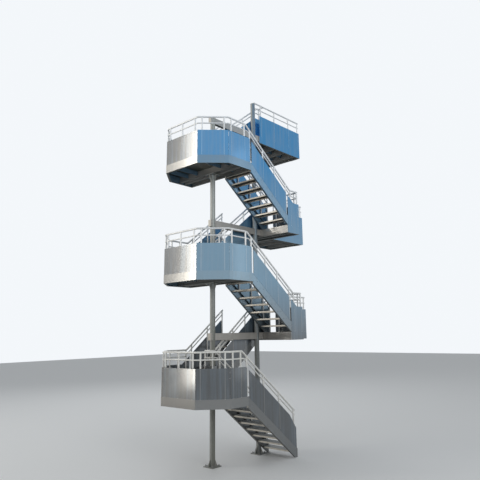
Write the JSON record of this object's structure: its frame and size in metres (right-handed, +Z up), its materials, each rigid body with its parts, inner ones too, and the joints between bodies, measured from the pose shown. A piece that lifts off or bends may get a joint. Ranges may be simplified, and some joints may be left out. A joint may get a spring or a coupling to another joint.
{
  "type": "fire escape stair tower",
  "caption": "Open steel fire escape stair tower with straight flights, cut-corner landings, sheeted guards and tube columns.",
  "frame": {"origin": "centre of the underside of the left column's base plate, on the ground", "axes": "+X along the flights towards the right platforms, +Y from the near lane to the far lane, +Z up"},
  "size_m": [5.157, 2.44, 10.4105],
  "materials": {
    "columns": "galvanised, satin",
    "structure": "galvanised, satin",
    "deck_steel": "galvanised tread plate",
    "tubes": "galvanised, satin",
    "sheets": "satin sheet"
  },
  "bodies": {
    "root": {"column_left": "columns", "column_right": "columns", "centre_beams": "structure", "left_platform_1": "deck_steel", "left_platform_2": "deck_steel", "left_platform_3": "deck_steel", "left_guard_1": "tubes", "left_guard_2": "tubes", "left_guard_3": "tubes", "left_sheets_1": "sheets", "left_sheets_2": "sheets", "left_sheets_3": "sheets", "right_platform_1": "deck_steel", "right_platform_2": "deck_steel", "right_platform_3": "deck_steel", "right_guard_1": "tubes", "right_guard_2": "tubes", "right_guard_3": "tubes", "right_sheets_1": "sheets", "right_sheets_2": "sheets", "right_sheets_3": "sheets", "strings_1": "structure", "strings_2": "structure", "strings_3": "structure", "strings_4": "structure", "strings_5": "structure", "strings_6": "structure", "treads_1": "deck_steel", "treads_2": "deck_steel", "treads_3": "deck_steel", "treads_4": "deck_steel", "treads_5": "deck_steel", "treads_6": "deck_steel", "flight_guard_1": "tubes", "flight_guard_2": "tubes", "flight_guard_3": "tubes", "flight_guard_4": "tubes", "flight_guard_5": "tubes", "flight_guard_6": "tubes", "flight_sheets_1": "sheets", "flight_sheets_2": "sheets", "flight_sheets_3": "sheets", "flight_sheets_4": "sheets", "flight_sheets_5": "sheets", "flight_sheets_6": "sheets"}
  },
  "joints": []
}
